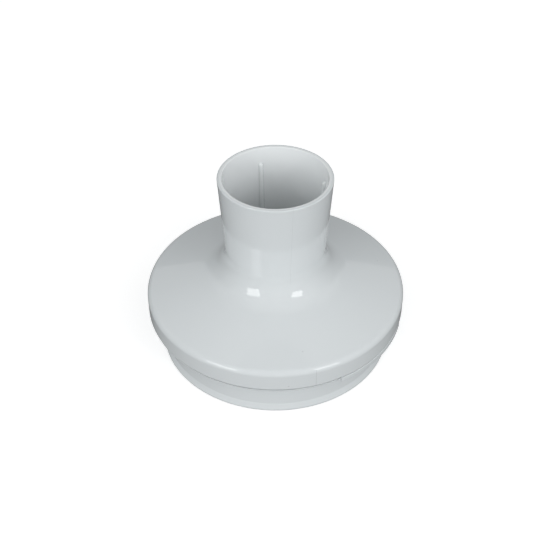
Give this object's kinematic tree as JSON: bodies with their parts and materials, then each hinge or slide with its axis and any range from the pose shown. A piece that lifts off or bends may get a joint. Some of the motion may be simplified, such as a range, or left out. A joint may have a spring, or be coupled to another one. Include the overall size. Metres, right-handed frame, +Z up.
{
  "type": "hand blender chopper gearbox lid",
  "caption": "Round chopper-bowl lid with a ribbed motor socket, a planetary reduction gear under its floor and a driven socket for the blade shaft.",
  "frame": {"origin": "centre of the face that the lower skirt stands on", "axes": "+Z up through the motor socket along the drive axis; -Y is the side nearest the viewer"},
  "size_m": [0.13, 0.13, 0.0973],
  "materials": {
    "shell_plastic": "pale grey gloss moulding",
    "gearbox_plastic": "satin grey moulding",
    "gear_plastic": "natural acetal",
    "coupling_plastic": "dark glass-filled nylon",
    "steel": "ground steel",
    "bronze": "sintered bronze",
    "rubber": "matt black"
  },
  "bodies": {
    "housing": {"top_cover": "shell_plastic", "base_housing": "shell_plastic", "gearbox_cover": "gearbox_plastic", "socket_gasket": "rubber", "ring_gear": "gear_plastic", "upper_bush": "bronze", "lower_bush": "bronze", "shaft_seal": "rubber", "housing_screw_1": "steel", "housing_screw_2": "steel", "housing_screw_3": "steel", "housing_screw_4": "steel", "gearbox_screw_1": "steel", "gearbox_screw_2": "steel", "gearbox_screw_3": "steel"},
    "output": {"planet_carrier": "coupling_plastic", "planet_plate": "steel", "output_shaft": "steel", "thrust_washer": "steel", "retaining_ring": "steel", "blade_coupling": "coupling_plastic", "planet_pin_1": "steel", "planet_pin_2": "steel", "planet_pin_3": "steel"},
    "input": {"input_shaft": "steel", "sun_gear": "gear_plastic", "sun_washer": "steel", "drive_coupling": "coupling_plastic"},
    "planet_1": {"planet_gear_1": "gear_plastic"},
    "planet_2": {"planet_gear_2": "gear_plastic"},
    "planet_3": {"planet_gear_3": "gear_plastic"}
  },
  "joints": [
    {"name": "output_spin", "type": "hinge", "parent": "housing", "child": "output", "pos_m": [0, 0, 0.02], "axis": [0, 0, 1], "continuous": true},
    {"name": "input_spin", "type": "hinge", "parent": "housing", "child": "input", "pos_m": [0, 0, 0.055], "axis": [0, 0, 1], "continuous": true},
    {"name": "planet_1_spin", "type": "hinge", "parent": "output", "child": "planet_1", "pos_m": [0.012, 0, 0.0359], "axis": [0, 0, 1], "continuous": true},
    {"name": "planet_2_spin", "type": "hinge", "parent": "output", "child": "planet_2", "pos_m": [-0.006, 0.01039, 0.0359], "axis": [0, 0, 1], "continuous": true},
    {"name": "planet_3_spin", "type": "hinge", "parent": "output", "child": "planet_3", "pos_m": [-0.006, -0.01039, 0.0359], "axis": [0, 0, 1], "continuous": true}
  ],
  "couplings": [
    {"joint": "input_spin", "follows": "output_spin", "ratio": 4},
    {"joint": "planet_1_spin", "follows": "output_spin", "ratio": -3},
    {"joint": "planet_2_spin", "follows": "output_spin", "ratio": -3},
    {"joint": "planet_3_spin", "follows": "output_spin", "ratio": -3}
  ]
}
